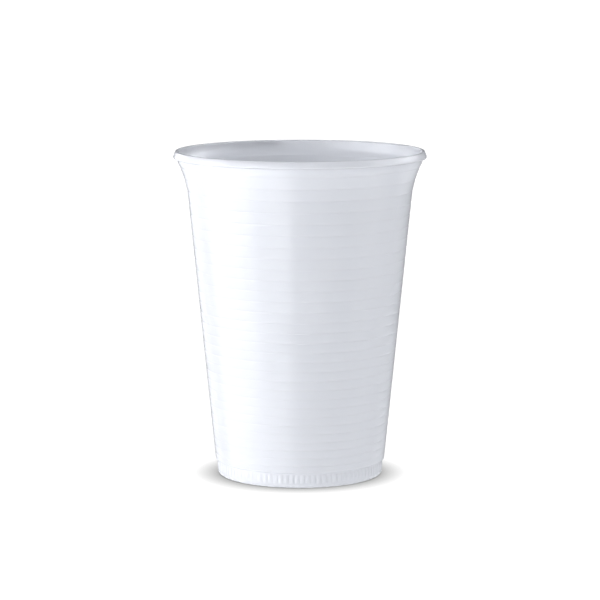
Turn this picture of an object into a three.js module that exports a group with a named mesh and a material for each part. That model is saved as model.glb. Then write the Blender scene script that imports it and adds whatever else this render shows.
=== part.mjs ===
// A ribbed drinking cup, thermoformed from one thin sheet of white plastic.
//
// Units are millimetres and +Z is up. The origin is the centre of the foot, on the plane that the
// cup stands on. The floor, the foot, the base band, the ribbed wall and the curled lip are one
// continuous sheet, so the cup is one solid: a section of constant thickness turned about +Z.

import * as THREE from 'three';

// Driving dimensions
const cupHeight = 90.8;
const lipRadius = 35.15;
const sheet = 0.2;
const turnSegments = 32;

// Floor: a flat recessed panel with a raised disc in its middle
const panelHeight = 2.0;
const panelRadius = 19.2;
const discRadius = 8.5;
const discRise = 0.5;
const discSlope = 0.8;

// Foot: a flat ring that the cup stands on
const footInnerRadius = 20.6;
const footInnerCorner = 0.5;

// Base band: a short upright band below the step that a stacked cup rests on
const bandRadius = 22.95;
const bandCorner = 0.8;
const stepHeight = 4.1;
const stepRise = 0.3;

// Wall: a cone with a flare under the lip
const wallRadiusAtFoot = 23.17;
const wallDraft = 0.0996;
const flareStart = 78.0;
const flareOut = 1.9;

// Grooves round the wall: the pitch narrows evenly from the lip to the base band
const grooveCount = 30;
const topGroove = 86.4;
const topPitch = 3.31;
const bottomPitch = 2.18;
const grooveDepth = 0.08;
const bandCrown = 0.02;

// Lip: the sheet rises, turns over a narrow top and curls under on the outside
const neckDepth = 3.0;
const topRadius = 0.35;
const topCentreInset = 0.9;
const curlRadius = 0.4;
const curlDepth = 1.6;
const curlTurn = 120;

const halfSheet = sheet / 2;
const neckHeight = cupHeight - neckDepth;

const point = (radius, height) => new THREE.Vector2(radius, height);

// Points on an arc, with the angles in degrees from +radius towards +height.
function arc(centre, radius, fromAngle, toAngle, steps) {
  const points = [];
  for (let i = 0; i <= steps; i += 1) {
    const angle = THREE.MathUtils.degToRad(fromAngle + ((toAngle - fromAngle) * i) / steps);
    points.push(point(centre.x + radius * Math.cos(angle), centre.y + radius * Math.sin(angle)));
  }
  return points;
}

// The plain wall's radius at a height, without its grooves.
function wallRadius(height) {
  const flare = Math.max(0, (height - flareStart) / (neckHeight - flareStart));
  return wallRadiusAtFoot + wallDraft * height + flareOut * flare * flare;
}

// The heights of the grooves, from the lowest one up.
function grooveHeights() {
  const heights = [];
  let height = topGroove;
  for (let i = 0; i < grooveCount; i += 1) {
    heights.unshift(height);
    height -= topPitch + ((bottomPitch - topPitch) * i) / (grooveCount - 1);
  }
  return heights;
}

// The sheet's middle line is drawn from the axis outwards and up to the end of the curl.
function floorLine() {
  return [
    point(0, panelHeight + discRise),
    point(discRadius, panelHeight + discRise),
    point(discRadius + discSlope, panelHeight),
    point(panelRadius, panelHeight),
  ];
}

function footLine() {
  const inner = point(footInnerRadius, halfSheet + footInnerCorner);
  const outer = point(bandRadius - bandCorner, halfSheet + bandCorner);
  return [
    ...arc(inner, footInnerCorner, 200, 270, 3),
    ...arc(outer, bandCorner, 270, 360, 4),
  ];
}

function bandLine() {
  return [
    point(bandRadius, stepHeight),
    point(wallRadius(stepHeight + stepRise), stepHeight + stepRise),
  ];
}

// Each groove is a shallow V, and the wall between two grooves is slightly crowned.
function wallLine() {
  const points = [];
  const heights = grooveHeights();
  heights.forEach((height, i) => {
    const next = i + 1 < heights.length ? heights[i + 1] : neckHeight;
    const crown = (height + next) / 2;
    points.push(point(wallRadius(height) - grooveDepth, height));
    points.push(point(wallRadius(crown) + bandCrown, crown));
  });
  return points;
}

function lipLine() {
  const top = point(lipRadius - topCentreInset, cupHeight - halfSheet - topRadius);
  const curl = point(lipRadius - halfSheet - curlRadius, cupHeight - curlDepth);
  return [
    point(wallRadius(neckHeight), neckHeight),
    ...arc(top, topRadius, 180, 0, 6),
    ...arc(curl, curlRadius, 0, -curlTurn, 4),
  ];
}

// Moves a line sideways by a distance, with mitred corners, so that straight stretches stay parallel.
function offsetLine(line, distance) {
  return line.map((here, i) => {
    const before = line[Math.max(0, i - 1)];
    const after = line[Math.min(line.length - 1, i + 1)];
    const normalIn = i > 0 ? rightNormal(before, here) : rightNormal(here, after);
    const normalOut = i < line.length - 1 ? rightNormal(here, after) : normalIn;
    const mitre = normalIn.clone().add(normalOut);
    return here.clone().addScaledVector(mitre, distance / (1 + normalIn.dot(normalOut)));
  });
}

// The unit normal on the right of a step from one point to another.
function rightNormal(from, to) {
  const step = to.clone().sub(from).normalize();
  return point(step.y, -step.x);
}

function cupGeometry() {
  const middle = [...floorLine(), ...footLine(), ...bandLine(), ...wallLine(), ...lipLine()];
  const underSide = offsetLine(middle, halfSheet);
  const upperSide = offsetLine(middle, -halfSheet).reverse();
  const geometry = new THREE.LatheGeometry([...underSide, ...upperSide], turnSegments);
  return geometry.rotateX(Math.PI / 2);
}

const whitePlastic = new THREE.MeshStandardMaterial({
  name: 'white_plastic',
  color: 0xf1f3f6,
  roughness: 0.28,
  metalness: 0,
});

const cup = new THREE.Mesh(cupGeometry(), whitePlastic);
cup.name = 'cup';

const model = new THREE.Group();
model.add(cup);

export default model;
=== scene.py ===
import math

import bpy
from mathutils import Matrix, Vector


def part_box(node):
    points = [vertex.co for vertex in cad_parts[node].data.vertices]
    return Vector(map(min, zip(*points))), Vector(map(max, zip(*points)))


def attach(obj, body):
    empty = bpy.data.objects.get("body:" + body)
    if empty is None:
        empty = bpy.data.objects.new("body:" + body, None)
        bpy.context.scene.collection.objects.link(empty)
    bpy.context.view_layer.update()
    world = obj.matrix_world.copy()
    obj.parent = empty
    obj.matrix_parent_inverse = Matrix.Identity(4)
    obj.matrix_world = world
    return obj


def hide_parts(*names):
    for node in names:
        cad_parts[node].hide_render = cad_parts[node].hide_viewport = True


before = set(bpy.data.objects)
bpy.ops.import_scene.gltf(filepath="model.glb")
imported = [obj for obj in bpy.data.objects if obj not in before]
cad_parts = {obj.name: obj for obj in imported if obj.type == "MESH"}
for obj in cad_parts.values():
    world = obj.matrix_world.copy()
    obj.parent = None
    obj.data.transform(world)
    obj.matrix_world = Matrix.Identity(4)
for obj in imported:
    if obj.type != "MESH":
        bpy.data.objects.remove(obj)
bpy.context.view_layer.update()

# A ribbed drinking cup, thermoformed from one thin sheet of glossy white plastic, in a small white
# studio. The sheet's middle line is drawn from the cup's axis out to the end of its curled lip, made
# into a closed section of even thickness, and turned round the axis. Lengths of the cup are in
# millimetres until mesh_from_rings() turns them into metres.

MM = 0.001

# The cup's own size, as packed
lip_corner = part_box("cup")[1]
CUP_HEIGHT = lip_corner.z / MM
LIP_RADIUS = lip_corner.x / MM
SHEET = 0.2

# Floor: a flat recessed panel with a raised disc in its middle, inside a flat foot ring
PANEL_HEIGHT = 2.0
PANEL_RADIUS = 19.2
DISC_RADIUS = 8.5
DISC_RISE = 0.5
DISC_SLOPE = 0.8
FOOT_INNER_RADIUS = 20.3
FLOOR_ROUNDING = 0.6
FOOT_INNER_ROUNDING = 0.5

# Base band with its fine upright flutes, and the step above it
BAND_RADIUS = 22.95
BAND_CORNER = 0.8
STEP_HEIGHT = 4.1
STEP_RISE = 0.3
STEP_ROUNDING = 0.15
STEP_INNER_ROUNDING = 0.12
STEP_LEAD = 0.25
STEP_TAIL = 0.5
FLUTES = 96
FLUTE_DEPTH = 0.19
FLUTE_FOOT = 0.9
FLUTE_TOP = 3.9
FLUTE_FADE = 1.1
FLUTE_RINGS = 9

# Wall: a cone with a flare under the lip
WALL_RADIUS_AT_FOOT = 23.17
WALL_DRAFT = 0.0996
FLARE_START = 78.0
FLARE_OUT = 1.9

# Grooves round the wall
GROOVES = 30
TOP_GROOVE = 86.4
TOP_PITCH = 3.31
BOTTOM_PITCH = 2.18
GROOVE_DEPTH = 0.07
GROOVE_WIDTH = 0.2
GROOVE_STEPS = (-2.0, -1.15, -0.55, 0.0, 0.55, 1.15, 2.0)
CROWN = 0.012

# Lip: the sheet rises, turns over a narrow top and curls under on the outside
NECK_DEPTH = 3.0
TOP_RADIUS = 0.35
TOP_INSET = 0.9
CURL_RADIUS = 0.4
CURL_DEPTH = 1.6
CURL_TURN = 120
TOP_STEPS = 12
CURL_STEPS = 10

# Corners in one turn, where the sheet is plain and where it is fluted. A ring on the axis is one point.
COARSE_TURN = 128
FINE_TURN = FLUTES * 8
ON_AXIS = 1e-6


def wall_radius(height):
    """The plain wall's radius at a height, without its grooves."""
    flare = max(0.0, (height - FLARE_START) / (CUP_HEIGHT - NECK_DEPTH - FLARE_START))
    return WALL_RADIUS_AT_FOOT + WALL_DRAFT * height + FLARE_OUT * flare * flare


def groove_heights():
    """The heights of the grooves from the lowest up. Their pitch widens evenly towards the lip."""
    heights = []
    height = TOP_GROOVE
    for i in range(GROOVES):
        heights.append(height)
        height -= TOP_PITCH + (BOTTOM_PITCH - TOP_PITCH) * i / (GROOVES - 1)
    return heights[::-1]


def arc(centre, radius, start, end, steps):
    """Points on an arc, with its angles in degrees from outwards towards up."""
    points = []
    for i in range(steps + 1):
        angle = math.radians(start + (end - start) * i / steps)
        points.append(Vector((centre[0] + radius * math.cos(angle), centre[1] + radius * math.sin(angle))))
    return points


def fillet(before, corner, after, radius, steps):
    """A corner of a line, rounded to a radius."""
    into, out = (corner - before).normalized(), (after - corner).normalized()
    half_turn = into.angle(out) / 2
    reach = radius * math.tan(half_turn)
    start, end = corner - into * reach, corner + out * reach
    middle = (start + end) / 2
    centre = corner + (middle - corner).normalized() * radius / math.cos(half_turn)
    points = []
    for i in range(steps + 1):
        spoke = (start - centre).lerp(end - centre, i / steps)
        points.append(centre + spoke.normalized() * radius)
    return points


def rounded(corners, steps=4):
    """A line through (radius, height, rounding) corners, each rounded where its rounding isn't 0."""
    points = []
    for i, (x, y, rounding) in enumerate(corners):
        corner = Vector((x, y))
        if rounding == 0:
            points.append(corner)
            continue
        before, after = Vector(corners[i - 1][:2]), Vector(corners[i + 1][:2])
        points += fillet(before, corner, after, rounding, steps)
    return points


def base_line():
    """The floor, the foot ring and the outside corner of the base band. band_line() goes on from there."""
    foot = SHEET / 2
    line = rounded([
        (0, PANEL_HEIGHT + DISC_RISE, 0),
        (DISC_RADIUS / 2, PANEL_HEIGHT + DISC_RISE, 0),
        (DISC_RADIUS, PANEL_HEIGHT + DISC_RISE, FLOOR_ROUNDING),
        (DISC_RADIUS + DISC_SLOPE, PANEL_HEIGHT, FLOOR_ROUNDING),
        ((DISC_RADIUS + PANEL_RADIUS) / 2, PANEL_HEIGHT, 0),
        (PANEL_RADIUS, PANEL_HEIGHT, FLOOR_ROUNDING),
        (FOOT_INNER_RADIUS, foot, FOOT_INNER_ROUNDING),
        (BAND_RADIUS, foot, BAND_CORNER),
        (BAND_RADIUS, STEP_HEIGHT, 0),
    ])
    return line[:-1]


def band_line():
    """The upright band and the step above it, with rings close enough for the flutes' round ends."""
    low, high = SHEET / 2 + BAND_CORNER, STEP_HEIGHT - STEP_LEAD
    spacing = (high - low) / FLUTE_RINGS
    upright = [Vector((BAND_RADIUS, low + spacing * i)) for i in range(1, FLUTE_RINGS)]
    above = STEP_HEIGHT + STEP_RISE
    wall_start = above + STEP_TAIL
    step = rounded([
        (BAND_RADIUS, high, 0),
        (BAND_RADIUS, STEP_HEIGHT, STEP_ROUNDING),
        (wall_radius(above), above, STEP_INNER_ROUNDING),
        (wall_radius(wall_start), wall_start, 0),
    ], steps=3)
    return upright + step


def wall_line():
    """The wall's bell-shaped grooves and the slightly crowned bands between them."""
    heights = groove_heights()
    points = []
    for i, height in enumerate(heights):
        above = heights[i + 1] if i + 1 < len(heights) else CUP_HEIGHT - NECK_DEPTH
        below = heights[i - 1] if i > 0 else STEP_HEIGHT + STEP_RISE
        for step in GROOVE_STEPS:
            z = height + step * GROOVE_WIDTH
            band = above - height if z > height else height - below
            crown = CROWN * math.sin(math.pi * abs(z - height) / band) ** 2
            groove = GROOVE_DEPTH * math.exp(-step * step)
            points.append(Vector((wall_radius(z) - groove + crown, z)))
        middle = (height + above) / 2
        points.append(Vector((wall_radius(middle) + CROWN, middle)))
    return points


def lip_line():
    """The rising neck, the narrow top, the slanting outer face and the curl under it."""
    top = (LIP_RADIUS - TOP_INSET, CUP_HEIGHT - SHEET / 2 - TOP_RADIUS)
    curl = (LIP_RADIUS - SHEET / 2 - CURL_RADIUS, CUP_HEIGHT - CURL_DEPTH)
    neck = CUP_HEIGHT - NECK_DEPTH
    return [
        Vector((wall_radius(neck), neck)),
        *arc(top, TOP_RADIUS, 180, 0, TOP_STEPS),
        *arc(curl, CURL_RADIUS, 0, -CURL_TURN, CURL_STEPS),
    ]


def right_normal(start, end):
    """The unit normal on the right of a step from one point to another."""
    step = (end - start).normalized()
    return Vector((step.y, -step.x))


def offset_line(line, distance):
    """A line moved sideways, with mitred corners, so that its straight stretches stay parallel."""
    moved = []
    for i, here in enumerate(line):
        into = right_normal(line[i - 1], here) if i > 0 else right_normal(here, line[i + 1])
        out = right_normal(here, line[i + 1]) if i + 1 < len(line) else into
        moved.append(here + (into + out) * distance / (1 + into.dot(out)))
    return moved


def flute_depth(height):
    """How deep the flutes are at a height: full along the band, with soft ends."""
    from_end = min(height - FLUTE_FOOT, FLUTE_TOP - height) / FLUTE_FADE
    share = min(1.0, max(0.0, from_end))
    return FLUTE_DEPTH * share * share * (3 - 2 * share)


def section_rings():
    """The closed section as (radius, height, flute depth) rings, from under the floor to above it."""
    middle = base_line() + band_line() + wall_line() + lip_line()
    outer = offset_line(middle, SHEET / 2)
    inner = offset_line(middle, -SHEET / 2)[::-1]
    rings = []
    for radius, height in outer + inner:
        in_band = radius > BAND_RADIUS - BAND_CORNER
        rings.append((radius, height, flute_depth(height) if in_band else 0.0))
    return rings


def corner_count(radius, depth):
    """The corners of one ring: one on the axis, more where the sheet is fluted than where it is plain."""
    if radius < ON_AXIS:
        return 1
    return FINE_TURN if depth > 0 else COARSE_TURN


def mesh_from_rings(name, rings):
    """One closed and smooth mesh through the rings, in metres."""
    points, faces, corners = [], [], []
    for radius, height, depth in rings:
        turn = corner_count(radius, depth)
        first = len(points)
        for i in range(turn):
            angle = math.tau * i / turn
            r = (radius + depth * lobe(FLUTES * i / turn)) * MM
            points.append((r * math.cos(angle), r * math.sin(angle), height * MM))
        corners.append([first + i for i in range(turn)])
    for low, high in zip(corners, corners[1:]):
        faces += bridge(low, high)
    mesh = bpy.data.meshes.new(name)
    mesh.from_pydata(points, [], faces)
    mesh.validate()
    mesh.shade_smooth()
    return mesh


def lobe(turns):
    """A convex flute's rise over one turn of its pitch: 2/3 in its middle and -1/3 at its edges."""
    across = 2 * (turns % 1) - 1
    return 2 / 3 - across * across


def bridge(low, high):
    """The faces between two rings: triangles round a point on the axis, and otherwise one face for each
    corner of the coarser ring. The finer ring has a whole number of corners for each of those."""
    fewer, more = sorted([len(low), len(high)])
    count = more if fewer == 1 else fewer
    faces = []
    for i in range(count):
        lower = stretch(low, i, count)
        upper = stretch(high, i, count)
        faces.append(lower + upper[::-1])
    return faces


def stretch(ring, i, count):
    """The corners of a ring along its i-th part of count."""
    if len(ring) == 1:
        return list(ring)
    step = len(ring) // count
    return [ring[(i * step + j) % len(ring)] for j in range(step + 1)]


def node(tree, kind, inputs=None, **settings):
    """Adds a shader node, with its settings and the values or links of its inputs."""
    made = tree.nodes.new(kind)
    for key, value in settings.items():
        setattr(made, key, value)
    for key, value in (inputs or {}).items():
        if isinstance(value, bpy.types.NodeSocket):
            tree.links.new(value, made.inputs[key])
        else:
            made.inputs[key].default_value = value
    return made


def noise(tree, coordinates, pattern):
    """A noise between 0 and 1, in the object's own coordinates."""
    mapped = node(tree, "ShaderNodeMapping", {
        "Vector": coordinates,
        "Scale": (1, 1, pattern["upwards"]),
    })
    made = node(tree, "ShaderNodeTexNoise", {
        "Vector": mapped.outputs["Vector"],
        "Scale": pattern["scale"],
        "Detail": pattern["detail"],
        "Roughness": pattern["roughness"],
    })
    return made.outputs["Fac"]


def remap(tree, value, low, high, to_low, to_high):
    """Maps a value from one range onto another and clamps it there."""
    inputs = {"Value": value, "From Min": low, "From Max": high, "To Min": to_low, "To Max": to_high}
    return node(tree, "ShaderNodeMapRange", inputs).outputs["Result"]


def math_node(tree, operation, *values):
    """One arithmetic step on numbers or links."""
    return node(tree, "ShaderNodeMath", dict(enumerate(values)), operation=operation).outputs[0]


# White plastic. Lengths are in millimetres.
SCATTER = 0.45
CLEAR_TINT = (0.70, 0.71, 0.735, 1)
CLOUDY_TINT = (0.685, 0.697, 0.725, 1)
POLISHED = 0.13
SMEARED = 0.24
DRAWN_DEPTH = 0.012
PEEL_DEPTH = 0.005
SCUFF_LOW = 0.2
SCUFF_HEIGHT = 1.6
SCUFF_ROUGHNESS = 0.28

# Its noise patterns: cycles per metre, how many times finer they are upwards than across, octaves, and
# how strong the fine octaves are
CLOUDS = {"scale": 110, "upwards": 0.5, "detail": 3, "roughness": 0.5}
SMEARS = {"scale": 260, "upwards": 0.2, "detail": 4, "roughness": 0.6}
DRAWING_LINES = {"scale": 1100, "upwards": 0.03, "detail": 2, "roughness": 0.5}
ORANGE_PEEL = {"scale": 1500, "upwards": 1, "detail": 2, "roughness": 0.5}
SCUFFS = {"scale": 700, "upwards": 2.5, "detail": 5, "roughness": 0.7}

# The stretch of each noise over which its effect grows from none to full
CLOUDS_FROM, CLOUDS_TO = 0.3, 0.7
SMEARS_FROM, SMEARS_TO = 0.35, 0.75
SCUFFS_FROM, SCUFFS_TO = 0.42, 0.58


def white_plastic():
    """Glossy white sheet, a little translucent, with drawing lines, an orange peel and a scuffed foot."""
    material = bpy.data.materials.new("white_plastic")
    material.use_nodes = True
    tree = material.node_tree
    tree.nodes.clear()
    place = node(tree, "ShaderNodeTexCoord").outputs["Object"]

    clouds = noise(tree, place, CLOUDS)
    colour = node(tree, "ShaderNodeMix", {
        "Factor": remap(tree, clouds, CLOUDS_FROM, CLOUDS_TO, 0, 1),
        "A": CLOUDY_TINT,
        "B": CLEAR_TINT,
    }, data_type="RGBA")

    lines = noise(tree, place, DRAWING_LINES)
    peel = noise(tree, place, ORANGE_PEEL)
    smears = noise(tree, place, SMEARS)
    polish = remap(tree, smears, SMEARS_FROM, SMEARS_TO, POLISHED, SMEARED)

    height = node(tree, "ShaderNodeSeparateXYZ", {"Vector": place}).outputs["Z"]
    near_foot = remap(tree, height, SCUFF_LOW * MM, SCUFF_HEIGHT * MM, 1, 0)
    scuffs = remap(tree, noise(tree, place, SCUFFS), SCUFFS_FROM, SCUFFS_TO, 0, 1)
    worn = math_node(tree, "MULTIPLY", near_foot, scuffs)
    roughness = math_node(tree, "MULTIPLY_ADD", worn, SCUFF_ROUGHNESS, polish)

    drawn = node(tree, "ShaderNodeBump", {
        "Height": lines,
        "Distance": DRAWN_DEPTH * MM,
        "Strength": 1.0,
    })
    peeled = node(tree, "ShaderNodeBump", {
        "Height": peel,
        "Distance": PEEL_DEPTH * MM,
        "Strength": 1.0,
        "Normal": drawn.outputs["Normal"],
    })

    shader = node(tree, "ShaderNodeBsdfPrincipled", {
        "Base Color": colour.outputs["Result"],
        "Roughness": roughness,
        "IOR": 1.5,
        "Subsurface Weight": 1.0,
        "Subsurface Radius": (1.0, 1.0, 1.0),
        "Subsurface Scale": SCATTER * MM,
        "Normal": peeled.outputs["Normal"],
    })
    output = node(tree, "ShaderNodeOutputMaterial")
    tree.links.new(shader.outputs["BSDF"], output.inputs["Surface"])
    return material


def place_mesh(name, mesh, material):
    """Puts a mesh into the scene with its material."""
    made = bpy.data.objects.new(name, mesh)
    made.data.materials.append(material)
    bpy.context.scene.collection.objects.link(made)
    return made


def make_cup():
    cup = place_mesh("cup_sheet", mesh_from_rings("cup_sheet", section_rings()), white_plastic())
    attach(cup, "root")
    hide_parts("cup")


# Studio floor, in metres. The camera sees a painted shadow in the floor's glow: it runs from the darkest,
# beside the foot, out to white, as the share of open sky over it grows.
FLOOR_REACH = 12.0
FLOOR_GLOW = 0.365
WHITE = 1.1
PAINTED_SHADE_REACH = 0.009
PAINTED_SHADE_DARKEST = 0.25
PAINTED_SHADE_DARKEST_AT = 0.25
PAINTED_SHADE_WHITE_AT = 0.97

# Studio lights. Each is a patch of the surroundings, and its edges fade over some degrees. The azimuth
# is 0 towards the camera and grows to its right, and the elevation is above the horizon. The wall leans
# outwards over its foot and mirrors what lies below the horizon, so many of the lights are there.
FILL = 0.15
FILL_TINT = (0.97, 0.985, 1.03)
LIGHTS = {
    "key": {"strength": 5.7, "left": -100, "right": -25, "low": -2, "high": 15, "fade": 12},
    "front": {"strength": 3.4, "left": -25, "right": 18, "low": -2, "high": 15, "fade": 12},
    "left_rear": {"strength": 2.8, "left": -155, "right": -100, "low": -2, "high": 12, "fade": 12},
    "below_rear": {"strength": 1.3, "left": -160, "right": -112, "low": -60, "high": 0, "fade": 10},
    "below_left": {"strength": 4.2, "left": -112, "right": -78, "low": -60, "high": 0, "fade": 8},
    "below_edge": {"strength": 5.3, "left": -78, "right": -57, "low": -60, "high": -12, "fade": 16},
    "below": {"strength": 3.6, "left": -57, "right": -10, "low": -60, "high": -4, "fade": 12},
    "glint": {"strength": 11.0, "left": -80, "right": -50, "low": -14, "high": -5, "fade": 4},
    "below_right": {"strength": 0.4, "left": -10, "right": 100, "low": -60, "high": 0, "fade": 8},
    "right_edge": {"strength": 0.5, "left": 122, "right": 190, "low": -26, "high": -14, "fade": 6},
    "right": {"strength": 2.0, "left": 66, "right": 100, "low": 0, "high": 24, "fade": 8},
    "right_rear": {"strength": 3.7, "left": 100, "right": 132, "low": 4, "high": 25, "fade": 8},
    "high_right": {"strength": 2.2, "left": 60, "right": 130, "low": 50, "high": 75, "fade": 8},
    "above": {"strength": 0.5, "left": -190, "right": 190, "low": 55, "high": 95, "fade": 8},
}


def floor_material():
    """A softly glowing white floor. The camera sees it plain white, with a painted shadow that is grey
    where the cup covers it.
    """
    material = bpy.data.materials.new("studio_floor")
    material.use_nodes = True
    tree = material.node_tree
    tree.nodes.clear()
    lit = node(tree, "ShaderNodeBsdfPrincipled", {
        "Base Color": (0.9, 0.9, 0.9, 1),
        "Roughness": 0.9,
        "Specular IOR Level": 0.1,
        "Emission Color": (1, 1, 1, 1),
        "Emission Strength": FLOOR_GLOW,
    })
    # Painted shadow: the glow that the camera sees dims near the cup, by how little open sky is over the
    # floor.
    cover = node(tree, "ShaderNodeAmbientOcclusion", {"Distance": PAINTED_SHADE_REACH}, samples=16).outputs["AO"]
    painted_shade = remap(tree, cover, PAINTED_SHADE_DARKEST_AT, PAINTED_SHADE_WHITE_AT, PAINTED_SHADE_DARKEST, WHITE)
    seen = node(tree, "ShaderNodeEmission", {"Color": (1, 1, 1, 1), "Strength": painted_shade})
    by_camera = node(tree, "ShaderNodeLightPath").outputs["Is Camera Ray"]
    mix = node(tree, "ShaderNodeMixShader", {0: by_camera, 1: lit.outputs[0], 2: seen.outputs[0]})
    output = node(tree, "ShaderNodeOutputMaterial")
    tree.links.new(mix.outputs[0], output.inputs["Surface"])
    return material


def make_floor():
    """A plain white floor, which the cup's gloss doesn't mirror: it mirrors the lights below instead."""
    reach = FLOOR_REACH
    corners = [(-reach, -reach, 0), (reach, -reach, 0), (reach, reach, 0), (-reach, reach, 0)]
    mesh = bpy.data.meshes.new("studio_floor")
    mesh.from_pydata(corners, [], [(0, 1, 2, 3)])
    floor = place_mesh("studio_floor", mesh, floor_material())
    floor.visible_glossy = False


def ramp(tree, value, start, end):
    """0 before start and 1 after end, with a smooth change between them."""
    inputs = {"Value": value, "From Min": start, "From Max": end}
    return node(tree, "ShaderNodeMapRange", inputs, interpolation_type="SMOOTHSTEP").outputs["Result"]


def light_patch(tree, azimuth, elevation, light):
    """A light's strength inside its patch, fading out round the patch's edges, and 0 elsewhere."""
    fade = light["fade"] / 2
    left = ramp(tree, azimuth, light["left"] - fade, light["left"] + fade)
    right = ramp(tree, azimuth, light["right"] + fade, light["right"] - fade)
    low = ramp(tree, elevation, light["low"] - fade, light["low"] + fade)
    high = ramp(tree, elevation, light["high"] + fade, light["high"] - fade)
    across = math_node(tree, "MULTIPLY", left, right)
    inside = math_node(tree, "MULTIPLY", across, math_node(tree, "MULTIPLY", low, high))
    return math_node(tree, "MULTIPLY", inside, light["strength"])


def make_world():
    """A dim fill and the soft lights round the cup. The camera itself sees white."""
    world = bpy.data.worlds.new("studio")
    bpy.context.scene.world = world
    world.use_nodes = True
    tree = world.node_tree
    tree.nodes.clear()
    direction = node(tree, "ShaderNodeTexCoord").outputs["Generated"]
    parts = node(tree, "ShaderNodeSeparateXYZ", {"Vector": direction}).outputs
    degrees = 180 / math.pi
    forward = math_node(tree, "MULTIPLY", parts["Y"], -1)
    azimuth = math_node(tree, "MULTIPLY", math_node(tree, "ARCTAN2", parts["X"], forward), degrees)
    elevation = math_node(tree, "MULTIPLY", math_node(tree, "ARCSINE", parts["Z"]), degrees)

    strength = FILL
    for light in LIGHTS.values():
        strength = math_node(tree, "ADD", light_patch(tree, azimuth, elevation, light), strength)

    seen = node(tree, "ShaderNodeLightPath").outputs["Is Camera Ray"]
    studio = node(tree, "ShaderNodeBackground", {"Color": (*FILL_TINT, 1), "Strength": strength})
    white = node(tree, "ShaderNodeBackground", {"Color": (1, 1, 1, 1), "Strength": WHITE})
    mix = node(tree, "ShaderNodeMixShader", {0: seen, 1: studio.outputs[0], 2: white.outputs[0]})
    output = node(tree, "ShaderNodeOutputWorld")
    tree.links.new(mix.outputs[0], output.inputs["Surface"])


# Camera, in metres and degrees. Its lens and sensor are in millimetres.
CAMERA_DISTANCE = 0.767
CAMERA_HEIGHT = 0.1595
CAMERA_PITCH = 8.21
CAMERA_LENS = 166.4
CAMERA_SENSOR = 36


def make_camera():
    data = bpy.data.cameras.new("camera")
    data.sensor_width = CAMERA_SENSOR
    data.lens = CAMERA_LENS
    data.clip_start = 0.01
    data.clip_end = 100
    camera = bpy.data.objects.new("camera", data)
    camera.location = (0, -CAMERA_DISTANCE, CAMERA_HEIGHT)
    camera.rotation_euler = (math.radians(90 - CAMERA_PITCH), 0, 0)
    bpy.context.scene.collection.objects.link(camera)
    bpy.context.scene.camera = camera


def make_studio():
    make_world()
    make_floor()
    bpy.context.scene.view_settings.view_transform = "Standard"
    make_camera()


make_cup()
make_studio()
